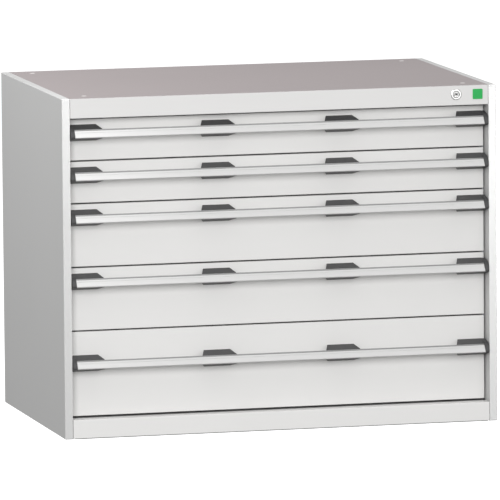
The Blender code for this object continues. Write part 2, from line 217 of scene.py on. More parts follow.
moulded = {
    "sparkSize": 0.00055,
    "sparkDepth": 0.00003,
    "fineShare": 0.4,
    "cloudSize": 0.012,
    "tone": (0.93, 1.07),
    "roughness": (0.46, 0.60),
}


def mouldedPlastic(name, colour, roughness=None):
    # spark-eroded mould grain
    rough = roughness or moulded["roughness"]
    paint = Paint(name, {"Specular IOR Level": 0.5})
    pits = paint.cells(moulded["sparkSize"])
    cloud = paint.noise(moulded["cloudSize"], 3.0)
    fine = paint.noise(moulded["sparkSize"] * moulded["fineShare"], 1.0)
    base = paint.blend(cloud, *(shade(colour, amount) for amount in moulded["tone"]))
    normal = paint.bump(pits + moulded["fineShare"] * fine, moulded["sparkDepth"])
    return paint.drive(colour=base, roughness=paint.spread(pits, *rough, (0.1, 0.8)), normal=normal)


plated = {
    "bloomSize": 0.010,
    "bloomShade": 0.90,
    "bloomShare": 0.7,
    "scratch": 0.0008,
    "scratchDepth": 0.000004,
    "roughness": (0.26, 0.42),
}


def platedMetal(name, colour, roughness=None, tint=(0.98, 1.0, 1.03)):
    # clear-passivated zinc: cloudy bloom with a faint tint and fine handling marks
    rough = roughness or plated["roughness"]
    paint = Paint(name, {"Metallic": 1.0})
    bloom = paint.noise(plated["bloomSize"], 4.0)
    marks = paint.noise(plated["scratch"], 2.0, (1, 0.05, 0.3))
    second = [c * t for c, t in zip(shade(colour, plated["bloomShade"]), tint)]
    base = paint.blend(paint.spread(bloom, 0, 1, (0.35, 0.65)), colour, second)
    normal = paint.bump(marks + 0.5 * bloom, plated["scratchDepth"])
    uneven = plated["bloomShare"] * bloom + (1 - plated["bloomShare"]) * marks
    return paint.drive(colour=base, roughness=paint.spread(uneven, *rough, (0.3, 0.7)), normal=normal)


looks = {
    # the body grey is a darker copy of the fronts' grey so that the side panels and inner returns read as
    # shaded: painted shade
    "body": powderCoat("body_powder_coat", (0.525, 0.525, 0.521)),
    "front": powderCoat("front_powder_coat", (0.735, 0.73, 0.72)),
    "fascia": powderCoat("fascia_powder_coat", (0.69, 0.685, 0.678)),
    "top": powderCoat("top_powder_coat", (0.340, 0.301, 0.303), (0.55, 0.66)),
    "tray": powderCoat("tray_powder_coat", (0.70, 0.70, 0.695)),
    "strip": drawnMetal("anodised_strip", (0.81, 0.808, 0.803)),
    # the back leg's grey is far darker than the strip's so that it reads as the shade line above the strip:
    # painted shade
    "leg": drawnMetal("anodised_back_leg", (0.40, 0.40, 0.40), (0.45, 0.55)),
    "plastic": mouldedPlastic("dark_moulded_plastic", (0.058, 0.058, 0.059)),
    "plug": mouldedPlastic("pale_plug_plastic", (0.62, 0.60, 0.59)),
    "cage": mouldedPlastic("ball_cage_plastic", (0.03, 0.03, 0.032)),
    "zinc": platedMetal("zinc_plate", (0.60, 0.61, 0.62)),
    "ball": platedMetal("ball_steel", (0.70, 0.70, 0.71), (0.08, 0.14)),
    "chrome": platedMetal("satin_chrome", (0.86, 0.86, 0.855), (0.20, 0.28), (1, 1, 1)),
    # near-black liner for the bottom of the key slot: painted shade deep in the keyway
    "keyway": mouldedPlastic("keyway_dark", (0.015, 0.015, 0.015)),
    "badge": mouldedPlastic("badge_enamel", (0.022, 0.40, 0.088), (0.26, 0.32)),
}
print("finishes mixed:", len(looks))


def addBox(bm, low, high):
    size = Vector(high) - Vector(low)
    middle = (Vector(high) + Vector(low)) / 2
    bmesh.ops.create_cube(bm, size=1, matrix=Matrix.Translation(middle) @ Matrix.Diagonal((*size, 1)))


def boxOf(low, high):
    bm = bmesh.new()
    addBox(bm, low, high)
    return bm


def openBox(low, high, openSides):
    bm = boxOf(low, high)
    gone = [f for f in bm.faces if any(f.normal.dot(Vector(side)) > 0.9 for side in openSides)]
    bmesh.ops.delete(bm, geom=gone, context="FACES")
    return bm


def toMesh(bm, name="shape", outwards=False):
    if outwards:
        bmesh.ops.recalc_face_normals(bm, faces=bm.faces)
    mesh = bpy.data.meshes.new(name)
    bm.to_mesh(mesh)
    bm.free()
    return mesh


def flipped(mesh):  # the same shape on the other side of the middle plane
    bm = bmesh.new()
    bm.from_mesh(mesh)
    bmesh.ops.scale(bm, vec=(-1, 1, 1), verts=bm.verts)
    bmesh.ops.reverse_faces(bm, faces=bm.faces)
    return toMesh(bm)


def joined(meshes, name="joined"):
    bm = bmesh.new()
    for mesh in meshes:
        bm.from_mesh(mesh)
    return toMesh(bm, name)


def moved(mesh, offset):
    copy = mesh.copy()
    copy.transform(Matrix.Translation(offset))
    return copy


def roundCorners(points, radius, steps=4):
    # a fillet at each corner, never longer than 0.45 of the edges beside it
    radii = radius if isinstance(radius, (list, tuple)) else [radius] * len(points)
    outline = []
    for i, corner in enumerate(points):
        here = Vector(corner)
        back = Vector(points[i - 1]) - here
        ahead = Vector(points[(i + 1) % len(points)]) - here
        angle = back.angle(ahead)
        reach = min(radii[i] / math.tan(angle / 2), 0.45 * back.length, 0.45 * ahead.length)
        if reach < 1e-6 or angle > math.radians(175):
            outline.append(tuple(here))
            continue
        bend = reach * math.tan(angle / 2)
        middle = here + (back.normalized() + ahead.normalized()).normalized() * (bend / math.sin(angle / 2))
        first = here + back.normalized() * reach - middle
        last = here + ahead.normalized() * reach - middle
        start = math.atan2(first.y, first.x)
        turn = (math.atan2(last.y, last.x) - start + math.pi) % (2 * math.pi) - math.pi
        for k in range(steps + 1):
            a = start + turn * k / steps
            outline.append((middle.x + bend * math.cos(a), middle.y + bend * math.sin(a)))
    return outline


def drawnOut(outline, axis, start, end):
    # outline in (y, z) along X, (x, z) along Y or (x, y) along Z
    bm = bmesh.new()
    spots = {
        "X": lambda p: (start, p[0], p[1]),
        "Y": lambda p: (p[0], start, p[1]),
        "Z": lambda p: (p[0], p[1], start),
    }
    face = bm.faces.new([bm.verts.new(spots[axis](p)) for p in outline])
    grown = bmesh.ops.extrude_face_region(bm, geom=[face])["geom"]
    tip = [v for v in grown if isinstance(v, bmesh.types.BMVert)]
    step = {"X": (end - start, 0, 0), "Y": (0, end - start, 0), "Z": (0, 0, end - start)}[axis]
    bmesh.ops.translate(bm, vec=step, verts=tip)
    return toMesh(bm, "drawnOut", outwards=True)


def turned(profile, centre, segments=48):
    # (radius, y) points turned about the Y axis through centre
    # the points close into a ring, unless they start and end at radius 0
    bm = bmesh.new()
    verts = [bm.verts.new((r, y, 0)) for r, y in profile]
    pairs = list(zip(verts, verts[1:]))
    if profile[0][0] > 0:
        pairs.append((verts[-1], verts[0]))
    edges = [bm.edges.new(pair) for pair in pairs]
    bmesh.ops.spin(
        bm, geom=verts + edges, cent=(0, 0, 0), axis=(0, 1, 0), angle=2 * math.pi, steps=segments, use_merge=True
    )
    bmesh.ops.remove_doubles(bm, verts=bm.verts, dist=1e-6)
    bmesh.ops.translate(bm, vec=centre, verts=bm.verts)
    return toMesh(bm, "turned", outwards=True)


def addPiece(name, mesh, look, body, standsFor=()):
    piece = bpy.data.objects.new(name, mesh)
    mesh.name = name
    mesh.materials.clear()
    mesh.materials.append(looks[look])
    bpy.context.scene.collection.objects.link(piece)
    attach(piece, body)
    if standsFor:
        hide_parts(*standsFor)
    return piece


def settle(piece, sharp=35):
    # keeps the finished surface, smooth over folds and crisp at cut edges
    bpy.context.view_layer.update()
    made = bpy.data.meshes.new_from_object(piece.evaluated_get(bpy.context.evaluated_depsgraph_get()))
    piece.modifiers.clear()
    piece.data = made
    made.name = piece.name
    made.shade_smooth()
    made.set_sharp_from_angle(angle=math.radians(sharp))
    even = piece.modifiers.new("evenShading", "WEIGHTED_NORMAL")
    even.keep_sharp = True
    return piece


def softEdges(piece, width, steps=3, angle=40):
    edges = piece.modifiers.new("softEdges", "BEVEL")
    edges.width = width
    edges.segments = steps
    edges.limit_method = "ANGLE"
    edges.angle_limit = math.radians(angle)
    return piece


def foldSheet(piece, thickness, radius, steps=5):
    softEdges(piece, radius, steps, 30)
    sheet = piece.modifiers.new("sheet", "SOLIDIFY")
    sheet.thickness = thickness
    sheet.offset = -1
    sheet.use_even_offset = True
    return piece


def cutWith(piece, mesh, operation="DIFFERENCE"):
    tool = bpy.data.objects.new("tool", mesh)
    bpy.context.scene.collection.objects.link(tool)
    change = piece.modifiers.new("cut", "BOOLEAN")
    change.operation = operation
    change.object = tool
    change.solver = "EXACT"
    settle(piece)
    bpy.data.objects.remove(tool)
    return piece


def cylinderAlong(axis, radius, start, end, centre, segments=32):
    # centre holds the two coordinates across the axis, in X, Y, Z order
    middle = (start + end) / 2
    spots = {
        "X": ((middle, *centre), Matrix.Rotation(math.pi / 2, 4, "Y")),
        "Y": ((centre[0], middle, centre[1]), Matrix.Rotation(math.pi / 2, 4, "X")),
        "Z": ((*centre, middle), Matrix.Identity(4)),
    }
    spot, turn = spots[axis]
    bm = bmesh.new()
    bmesh.ops.create_cone(
        bm, cap_ends=True, segments=segments, radius1=radius, radius2=radius, depth=end - start,
        matrix=Matrix.Translation(spot) @ turn,
    )
    return toMesh(bm)


def buttonHead(spot, towards, radius, height):
    # a low domed rivet or screw head that stands on a face
    profile = [(0, -height)]
    for k in range(1, 5):
        a = math.pi / 2 * k / 4
        profile.append((radius * math.sin(a), -height * (0.25 + 0.75 * math.cos(a))))
    profile += [(radius, 0.0002), (0, 0.0002)]
    mesh = turned(profile, (0, 0, 0), 20)
    turn = Vector((0, -1, 0)).rotation_difference(Vector(towards))
    mesh.transform(Matrix.Translation(spot) @ turn.to_matrix().to_4x4())
    return mesh


def slotLines(start, end, centres, width):
    lines = [start]
    for c in centres:
        lines += [c - width / 2, c + width / 2]
    return lines + [end]


def slottedWall(bm, corner, across, acrossLines, upLines):
    # a grid of faces in which each cell that is odd both ways is left open
    corner, across = Vector(corner), Vector(across)
    spots = [[bm.verts.new(corner + across * a + Vector((0, 0, u))) for u in upLines] for a in acrossLines]
    for i in range(len(acrossLines) - 1):
        for j in range(len(upLines) - 1):
            if i % 2 == 0 or j % 2 == 0:
                bm.faces.new((spots[i][j], spots[i + 1][j], spots[i + 1][j + 1], spots[i][j + 1]))


def evenly(start, end, pitch):
    count = int((end - start) / pitch)
    first = (start + end - count * pitch) / 2
    return [first + k * pitch for k in range(count + 1)]


housing = {
    "sheet": 0.0015,
    "fold": 0.0022,
    "returnDepth": 0.045,
    "relief": 0.003,
    "seam": 0.0006,
    "lockHoleSlack": 0.0006,
    "plinthFold": 0.0026,
    "plinthEdge": 0.0017,  # how far its lower edge stands above the CAD's
}


def sidePanels():
    mesh = toMesh(openBox(caseLow, caseHigh, [(-1, 0, 0)]))
    inner = boxOf(
        (caseLow.x, frontY + housing["sheet"] / 2, housing["relief"]),
        (caseLow.x + housing["sheet"], frontY + housing["returnDepth"], caseHigh.z - housing["relief"]),
    )
    inner = toMesh(inner, outwards=True)
    for side, skin, fold in (("right", mesh, inner), ("left", flipped(mesh), flipped(inner))):
        panel = addPiece(side + "_side", skin, "body", "cabinet", [side + "_side_panel"])
        foldSheet(panel, housing["sheet"], housing["fold"])
        cutWith(panel, fold, "UNION")


def caseSheet(name, node, openSides, look="body", seam=0.0, fold=housing["fold"] * 0.8):
    low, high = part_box(node)
    low.x += seam
    high.x -= seam
    panel = addPiece(name, toMesh(openBox(low, high, openSides)), look, "cabinet", [node])
    return foldSheet(panel, housing["sheet"], fold)


cornerPlug = {
    "inset": 0.047,
    "fromFront": 0.055,
    "fromBack": 0.050,
    "radius": 0.0062,
    "rise": 0.0007,
    "sink": 0.0001,
    "dome": [(0, 0.4), (0.45, 0.5), (0.62, 1.0), (0.86, 0.9)],  # shares of the radius and of the rise
}


def topPanel():
    panel = caseSheet("top_sheet", "top_panel", [(0, 0, -1), (-1, 0, 0), (1, 0, 0)], "top")
    settle(panel)
    low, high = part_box("top_panel")
    r = cornerPlug["radius"]
    rise = cornerPlug["rise"]
    profile = [(r * share, -rise * part) for share, part in cornerPlug["dome"]]
    dome = turned(profile + [(r, cornerPlug["sink"]), (0, cornerPlug["sink"])], (0, 0, 0), 32)
    dome.transform(Matrix.Rotation(-math.pi / 2, 4, "X"))
    spots = [
        (x, y, high.z - cornerPlug["sink"])
        for x in (low.x + cornerPlug["inset"], high.x - cornerPlug["inset"])
        for y in (frontY + cornerPlug["fromFront"], high.y - cornerPlug["fromBack"])
    ]
    plugs = addPiece("top_corner_plugs", joined([moved(dome, spot) for spot in spots]), "plug", "cabinet")
    settle(plugs)


def fasciaAndPlinth():
    ends = [(-1, 0, 0), (1, 0, 0)]
    fascia = caseSheet("fascia", "top_fascia", [(0, 0, 1), (0, 1, 0), *ends], "fascia", housing["seam"])
    low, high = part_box("lock_housing")
    centre = (low + high) / 2
    coreLow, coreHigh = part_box("lock_cylinder")
    hole = (coreHigh.x - coreLow.x) / 2 - housing["lockHoleSlack"]
    cutWith(fascia, cylinderAlong("Y", hole, frontY - 0.01, frontY + 0.01, (centre.x, centre.z), 48))
    plinth = caseSheet(
        "plinth", "plinth_panel", [(0, 1, 0), *ends], "front", housing["seam"], housing["plinthFold"]
    )
    settle(plinth)
    for v in plinth.data.vertices:
        v.co.z = max(v.co.z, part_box("plinth_panel")[0].z + housing["plinthEdge"])


# distances behind the front plane, and from the ends and edges of the sheets, for dark strips of painted shade
# in the seams and under the plinth
seamShade = {
    "halfWidth": 0.0035,
    "front": 0.0030,
    "back": 0.0080,
    "above": 0.0010,
    "below": 0.0020,
    "floorFront": 0.0012,
    "floorInset": 0.004,
    "floorGap": 0.0001,
    "floorHeight": 0.0030,
    "round": 0.0004,
}


def seamShadeStrips():
    # dark strips behind the seams beside the fascia and the plinth, and along the joint with the floor: painted
    # shade in the seams and a painted contact shadow under the plinth
    bm = bmesh.new()
    back = frontY + seamShade["back"]
    for node in ("top_fascia", "plinth_panel"):
        low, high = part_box(node)
        for end in (low.x, high.x):
            addBox(
                bm,
                (end - seamShade["halfWidth"], frontY + seamShade["front"], low.z + seamShade["above"]),
                (end + seamShade["halfWidth"], back, high.z - seamShade["below"]),
            )
    low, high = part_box("plinth_panel")
    addBox(
        bm,
        (low.x + seamShade["floorInset"], frontY + seamShade["floorFront"], low.z + seamShade["floorGap"]),
        (high.x - seamShade["floorInset"], back, low.z + seamShade["floorHeight"]),
    )
    settle(softEdges(addPiece("seam_seals", toMesh(bm), "plastic", "cabinet"), seamShade["round"], 2))


backPress = {"margin": 0.060, "slope": 0.010, "depth": 0.004, "fields": 3, "round": 0.003}
backRivets = {"from": 0.10, "to": 0.74, "pitch": 0.64 / 5, "inset": 0.010, "radius": 0.0035, "height": 0.0004}


def backAndBase():
    settle(caseSheet("base", "base_panel", [(0, 0, -1), (0, -1, 0)]))
    # the back is one sheet with shallow pressed fields that stiffen it
    low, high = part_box("back_panel")
    bm = bmesh.new()
    bmesh.ops.create_grid(bm, x_segments=backPress["fields"], y_segments=1, size=0.5)
    turn = Matrix.Rotation(-math.pi / 2, 4, "X")
    size = Matrix.Diagonal((high.x - low.x, 1, high.z - low.z, 1))
    middle = Matrix.Translation(((low.x + high.x) / 2, high.y, (low.z + high.z) / 2))
    bmesh.ops.transform(bm, matrix=middle @ size @ turn, verts=bm.verts)
    bmesh.ops.recalc_face_normals(bm, faces=bm.faces)
    if bm.faces[:][0].normal.y < 0:
        bmesh.ops.reverse_faces(bm, faces=bm.faces)
    bmesh.ops.inset_individual(bm, faces=bm.faces[:], thickness=backPress["margin"], depth=0)
    fields = sorted(bm.faces, key=lambda f: -f.calc_area())[: backPress["fields"]]
    bmesh.ops.inset_individual(bm, faces=fields, thickness=backPress["slope"], depth=-backPress["depth"])
    panel = addPiece("back", toMesh(bm), "body", "cabinet", ["back_panel"])
    softEdges(panel, backPress["round"], 3, 12)
    sheet = panel.modifiers.new("sheet", "SOLIDIFY")
    sheet.thickness = high.y - low.y
    sheet.offset = -1
    settle(panel, 50)
    x, y = caseHigh.x - backRivets["inset"], backY - backRivets["height"]
    rivets = joined([
        buttonHead((x, y, z), (0, 1, 0), backRivets["radius"], backRivets["height"])
        for z in evenly(backRivets["from"], backRivets["to"], backRivets["pitch"])
    ])
    settle(addPiece("back_rivets", joined([rivets, flipped(rivets)]), "zinc", "cabinet"))


sidePanels()
topPanel()
fasciaAndPlinth()
seamShadeStrips()
backAndBase()
print("housing built")


runner = {
    "standOff": 0.0140,
    "wall": 0.0015,
    "corner": 0.0022,
    "lipRound": 0.0003,
    "channelLip": 0.013,
    "channelDepth": 0.0143,
    "channelHalf": 0.020,
    "channelEnds": (0.028, 0.012),
    "trayLip": 0.008,
    "trayDepth": 0.0140,
    "trayHalf": 0.014,
    "trayEnds": (0.0245, 0.010),
    "slotPitch": 0.025,
    "slotHeight": 0.012,
    "slotWidth": 0.004,
    "columnPitch": 0.24,
    "columnMargin": 0.03,
    "rowMargin": 0.012,
    "rivetX": 0.0130,
    "rivetEnds": (0.06, 0.05),
    "rivetPitch": 0.11,
    "rivetRadius": 0.0042,
    "rivetHeight": 0.0016,
    "panelSheet": 0.0012,
    "panelFold": 0.0016,
}


def channelMesh(inner, outer, halfHeight, lip, opensOutwards, start, end):
    web, mouth, step = (inner, outer, 1) if opensOutwards else (outer, inner, -1)
    wall = runner["wall"]
    upper = [
        (web, halfHeight),
        (mouth, halfHeight),
        (mouth, lip),
        (mouth - step * wall, lip),
        (mouth - step * wall, halfHeight - wall),
        (web + step * wall, halfHeight - wall),
    ]
    outerCorner = runner["corner"]
    innerCorner = outerCorner - wall
    lipRound = runner["lipRound"]
    radii = [outerCorner, outerCorner, lipRound, lipRound, innerCorner, innerCorner]
    outline = upper + [(x, -z) for x, z in reversed(upper)]
    return drawnOut(roundCorners(outline, radii + radii[::-1]), "Y", start, end)


def runnerPanels(rises):
    low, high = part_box("runner_panel_right")
    wallX = low.x + runner["standOff"]
    length = high.y - low.y
    margin = runner["columnMargin"]
    centres = evenly(margin, length - margin, runner["columnPitch"])
    columns = slotLines(0, length, centres, runner["slotWidth"])
    margin = runner["rowMargin"]
    centres = evenly(low.z + margin, high.z - margin, runner["slotPitch"])
    rows = slotLines(low.z, high.z, centres, runner["slotHeight"])
    skin = bmesh.new()
    slottedWall(skin, (wallX, low.y, 0), (0, 1, 0), columns, rows)
    bmesh.ops.reverse_faces(skin, faces=skin.faces)
    rim = [e for e in skin.edges if e.is_boundary and all(
        min(abs(v.co.y - low.y), abs(v.co.y - high.y), abs(v.co.z - low.z), abs(v.co.z - high.z)) < 1e-5
        for v in e.verts)]
    grown = bmesh.ops.extrude_edge_only(skin, edges=rim)["geom"]
    edge = [v for v in grown if isinstance(v, bmesh.types.BMVert)]
    bmesh.ops.translate(skin, vec=(high.x - wallX, 0, 0), verts=edge)
    bmesh.ops.recalc_face_normals(skin, faces=skin.faces)
    inside = next(f for f in skin.faces if abs(f.normal.x) > 0.9)
    if inside.normal.x > 0:
        bmesh.ops.reverse_faces(skin, faces=skin.faces)
    mesh = toMesh(skin)
    front, back = runner["channelEnds"]
    outer = low.x + runner["channelDepth"]
    channel = channelMesh(
        low.x, outer, runner["channelHalf"], runner["channelLip"], False, low.y + front, high.y - back
    )
    channels = joined([moved(channel, (0, 0, rise)) for rise in rises])
    front, back = runner["rivetEnds"]
    x = low.x + runner["rivetX"]
    heads = joined([
        buttonHead((x, y, rise), (-1, 0, 0), runner["rivetRadius"], runner["rivetHeight"])
        for rise in rises
        for y in evenly(low.y + front, high.y - back, runner["rivetPitch"])
    ])
    for side, panelMesh, rails, rivets in (
        ("right", mesh, channels, heads),
        ("left", flipped(mesh), flipped(channels), flipped(heads)),
    ):
        panel = addPiece("runner_sheet_" + side, panelMesh, "zinc", "cabinet", ["runner_panel_" + side])
        settle(foldSheet(panel, runner["panelSheet"], runner["panelFold"], 3))
        settle(addPiece("fixed_channels_" + side, rails, "zinc", "cabinet", ["runner_panel_" + side]))
        settle(addPiece("channel_rivets_" + side, rivets, "zinc", "cabinet"))


rail = {
    "neck": 0.0090,
    "shoulder": 0.0067,
    "web": 0.006,
    "foot": 0.0115,
    "round": 0.0011,
    "outerBalls": {"inset": 0.0034, "fromBack": 0.03},
    "innerBalls": {"inset": 0.0045, "fromFront": 0.02},
    "ballRadius": 0.00150,
    "ballPitch": 0.0125,
    "ballRun": 0.14,
    "ballRise": 0.0002,
    "cage": (0.0026, 0.006, 0.0004),  # half width, reach past the end balls, half thickness
    "cageRound": 0.0002,
}


def middleRail(number, rise):
    low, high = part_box(f"drawer_{number}_middle_rail_right")
    head = (high.z - low.z) / 2
    neck = low.x + rail["neck"]
    shoulder = high.x - rail["shoulder"]
    upper = [
        (high.x, head),
        (shoulder, head),
        (shoulder, rail["web"]),
        (neck, rail["web"]),
        (neck, rail["foot"]),
        (low.x, rail["foot"]),
    ]
    outline = roundCorners(upper + [(x, -z) for x, z in reversed(upper)], rail["round"])
    railMesh = moved(drawnOut(outline, "Y", low.y, high.y), (0, 0, rise))
    outer, inner, run = rail["outerBalls"], rail["innerBalls"], rail["ballRun"]
    rows = (
        (high.x - outer["inset"], head + rail["ballRise"], high.y - run - outer["fromBack"]),
        (low.x + inner["inset"], rail["foot"] + rail["ballRise"], low.y + inner["fromFront"]),
    )
    balls = bmesh.new()
    cages = bmesh.new()
    wide, past, thick = rail["cage"]
    for x, height, start in rows:
        for y in evenly(start, start + run, rail["ballPitch"]):
            for side in (1, -1):
                spot = Matrix.Translation((x, y, rise + side * height))
                bmesh.ops.create_icosphere(balls, subdivisions=2, radius=rail["ballRadius"], matrix=spot)
        for side in (1, -1):
            z = rise + side * (height + rail["ballRise"])
            addBox(cages, (x - wide, start - past, z - thick), (x + wide, start + run + past, z + thick))
    ballMesh = toMesh(balls)
    cageMesh = toMesh(cages)
    body = f"runners_{number}"
    for side, change in (("right", lambda mesh: mesh.copy()), ("left", flipped)):
        stem = f"drawer_{number}_{side}"
        node = f"drawer_{number}_middle_rail_{side}"
        settle(addPiece(stem + "_middle_rail", change(railMesh), "zinc", body, [node]))
        settle(softEdges(addPiece(stem + "_ball_cages", change(cageMesh), "cage", body), rail["cageRound"], 2))
        settle(addPiece(stem + "_balls", change(ballMesh), "ball", body), 60)


def railRise(number):
    low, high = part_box(f"drawer_{number}_middle_rail_right")
    return (low.z + high.z) / 2


runnerPanels([railRise(n) for n in range(1, drawerCount + 1)])
for number in range(1, drawerCount + 1):
    middleRail(number, railRise(number))
print("runners built")


drawerFront = {
    "depth": 0.012,
    "sheet": 0.0012,
    "fold": 0.0016,
    "skirtRise": 0.0014,  # the bottom front's lower edge
    "tongueX": (0.490, 0.497),
    "tongueRise": 0.095,
    "tongueSheet": 0.002,
    "tongueFront": 0.0010,
    "hookRise": 0.0805,
    "hookDepth": 0.004,
    "tongueRound": (0.0008, 0.0003),
}


def floorOf(number):  # the level that a drawer's parts are placed from
    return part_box(f"drawer_{number}_tray")[0].z - tray["underFloor"]


def frontPan(number):
    node = f"drawer_{number}_front"
    low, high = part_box(node)
    pan = Vector((high.x, faceY + drawerFront["depth"], high.z))
    if number == drawerCount:
        low.z += drawerFront["skirtRise"]
    mesh = toMesh(openBox(low, pan, [(0, 1, 0)]))
    body = f"drawer_{number}"
    panel = addPiece(body + "_front_pan", mesh, "front", body, [node])
    settle(foldSheet(panel, drawerFront["sheet"], drawerFront["fold"]))
    # the tongue that the lock's peg holds, spot-welded inside the pan
    top = floorOf(number) + drawerFront["tongueRise"]
    under = top - drawerFront["tongueSheet"]
    hook = floorOf(number) + drawerFront["hookRise"]
    front = faceY + drawerFront["tongueFront"]
    neck = high.y - drawerFront["hookDepth"]
    outline = [(front, top), (front, under), (neck, under), (neck, hook), (high.y, hook), (high.y, top)]
    fillet, soft = drawerFront["tongueRound"]
    mesh = drawnOut(roundCorners(outline, fillet, 3), "X", *drawerFront["tongueX"])
    settle(softEdges(addPiece(body + "_lock_tongue", mesh, "zinc", body), soft, 2, 60))


tray = {
    "sheet": 0.0012,
    "fold": 0.0022,
    "underFloor": 0.004,
    "sideGap": 0.0143,
    "slotPitch": 0.050,
    "slotWidth": 0.0030,
    "slotHeight": 0.014,
    "slotRise": 0.016,
    "slotStep": 0.026,
    "slotMargin": 0.03,
    "slotTop": 0.010,
    "rim": 0.0035,
}


def drawerTray(number):
    node = f"drawer_{number}_tray"
    low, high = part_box(node)
    half = high.x - tray["sideGap"]
    body = f"drawer_{number}"
    bm = bmesh.new()
    rowCentres = []
    z = low.z + tray["slotRise"] + tray["slotHeight"] / 2
    while z + tray["slotHeight"] / 2 < high.z - tray["slotTop"]:
        rowCentres.append(z)
        z += tray["slotStep"]
    rows = slotLines(low.z, high.z, rowCentres, tray["slotHeight"])
    margin = tray["slotMargin"]
    centres = evenly(-half + margin, half - margin, tray["slotPitch"])
    wide = slotLines(-half, half, centres, tray["slotWidth"])
    centres = evenly(low.y + margin, high.y - margin, tray["slotPitch"])
    deep = slotLines(low.y, high.y, centres, tray["slotWidth"])
    slottedWall(bm, (0, low.y, 0), (1, 0, 0), wide, rows)
    slottedWall(bm, (0, high.y, 0), (1, 0, 0), wide, rows)
    slottedWall(bm, (-half, 0, 0), (0, 1, 0), deep, rows)
    slottedWall(bm, (half, 0, 0), (0, 1, 0), deep, rows)
    bmesh.ops.remove_doubles(bm, verts=bm.verts, dist=1e-5)
    floor = [e for e in bm.edges if e.is_boundary and all(abs(v.co.z - low.z) < 1e-5 for v in e.verts)]
    bmesh.ops.contextual_create(bm, geom=floor)
    top = [e for e in bm.edges if e.is_boundary and all(abs(v.co.z - high.z) < 1e-5 for v in e.verts)]
    grown = bmesh.ops.extrude_edge_only(bm, edges=top)["geom"]
    for v in (v for v in grown if isinstance(v, bmesh.types.BMVert)):
        if abs(abs(v.co.x) - half) < 1e-5:
            v.co.x -= math.copysign(tray["rim"], v.co.x)
        if abs(v.co.y - low.y) < 1e-5:
            v.co.y += tray["rim"]
        elif abs(v.co.y - high.y) < 1e-5:
            v.co.y -= tray["rim"]
    bmesh.ops.recalc_face_normals(bm, faces=bm.faces)
    base = max(bm.faces, key=lambda f: f.calc_area())
    if base.normal.z > 0:
        bmesh.ops.reverse_faces(bm, faces=bm.faces)
    shell = addPiece(body + "_tray_shell", toMesh(bm), "tray", body, [node])
    settle(foldSheet(shell, tray["sheet"], tray["fold"], 3))
    front, back = runner["trayEnds"]
    inner = high.x - runner["trayDepth"]
    channel = channelMesh(
        inner, high.x, runner["trayHalf"], runner["trayLip"], True, low.y + front, high.y - back
    )
    channel = moved(channel, (0, 0, railRise(number)))
    for side, mesh in (("right", channel), ("left", flipped(channel))):
        settle(addPiece(f"{body}_{side}_tray_channel", mesh, "zinc", body, [node]))


# section points as (y from the housing's front plane, z from the strip's upper edge, fillet)
grip = {
    "section": [
        (0.0023, -0.0012, 0.0005),
        (0.0008, -0.0034, 0.0100),
        (-0.0006, -0.0056, 0.0004),
        (-0.0002, -0.0060, 0.0002),
        (-0.0005, -0.0064, 0.0002),
        (-0.0010, -0.0062, 0.0004),
        (-0.0038, -0.0100, 0.0200),
        (-0.0068, -0.0141, 0.0060),
        (-0.0080, -0.0158, 0.0010),
        (-0.0078, -0.0172, 0.0009),
        (-0.0065, -0.0182, 0.0009),
        (-0.0048, -0.0172, 0.0010),
        (-0.0008, -0.0106, 0.0030),
        (0.0030, -0.0050, 0.0200),
        (0.0038, -0.0030, 0.0005),
    ],
    "leg": [(0.0030, 0.0014), (0.0030, -0.0012), (0.0034, -0.0028), (0.0052, -0.0028), (0.0052, 0.0014)],
    "legRound": 0.0004,
    "legInset": 0.0004,
    "endRound": 0.00025,
}


def gripStrip(number):
    node = f"drawer_{number}_grip_strip"
    low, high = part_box(node)
    section = [(frontY + y, high.z + z) for y, z, fillet in grip["section"]]
    fillets = [fillet for y, z, fillet in grip["section"]]
    mesh = drawnOut(roundCorners(section, fillets, 3), "X", low.x, high.x)
    strip = addPiece(f"drawer_{number}_grip", mesh, "strip", f"drawer_{number}", [node])
    settle(softEdges(strip, grip["endRound"], 2, 70), 30)
    # the dark back leg along the strip's upper edge is painted shade: a dark line where the drawer face behind
    # the strip is shaded
    leg = [(frontY + y, high.z + z) for y, z in grip["leg"]]
    inset = grip["legInset"]
    mesh = drawnOut(roundCorners(leg, grip["legRound"], 3), "X", low.x + inset, high.x - inset)
    settle(addPiece(f"drawer_{number}_grip_leg", mesh, "leg", f"drawer_{number}", [node]), 30)


# (y from the housing's front plane, z from the strip's upper edge)
plasticParts = {
    "flare": 0.35,
    "flareFrom": 0.008,
    "capInner": 0.4225,
    "capPastStrip": 0.002,
    "cheekGap": 0.0005,
    "clipHalf": 0.0465,
    "round": 0.0007,
    "upperFoot": (0.0337, 0.0110),
    "capFoot": (0.0337, -0.0280),
    "clipFoot": (0.0337, -0.0285),
    "nose": [(0.0058, 0.0020), (0.0058, -0.0016), (-0.0006, -0.0108), (-0.0044, -0.0176)],
    "bodyRadii": [0.0008, 0.002, 0.0006, 0.0006, 0.001, 0.0008],
    "cheek": [
        (0.0337, 0.0105),
        (0.0086, 0.0053),
        (0.0010, 0.0002),
        (-0.0033, -0.0042),
        (-0.0060, -0.0110),
        (-0.0065, -0.0150),
        (-0.0050, -0.0185),
        (0.0337, -0.0280),
    ],
    "cheekRadii": [0.001, 0.012, 0.010, 0.008, 0.006, 0.004, 0.002, 0.001],
}


def plasticBody(foot, gripTop, low, high, flares):
    # from the drawer's face to just behind the strip, wider towards the face at the flared ends
    section = [plasticParts["upperFoot"], *plasticParts["nose"], foot]
    points = [(frontY + y, gripTop + z) for y, z in section]
    mesh = drawnOut(roundCorners(points, plasticParts["bodyRadii"], 3), "X", low, high)
    nose = frontY - plasticParts["flareFrom"]
    for v in mesh.vertices:
        for end, sign in flares:
            if abs(v.co.x - end) < 1e-5:
                v.co.x += sign * plasticParts["flare"] * (v.co.y - nose)
    return mesh


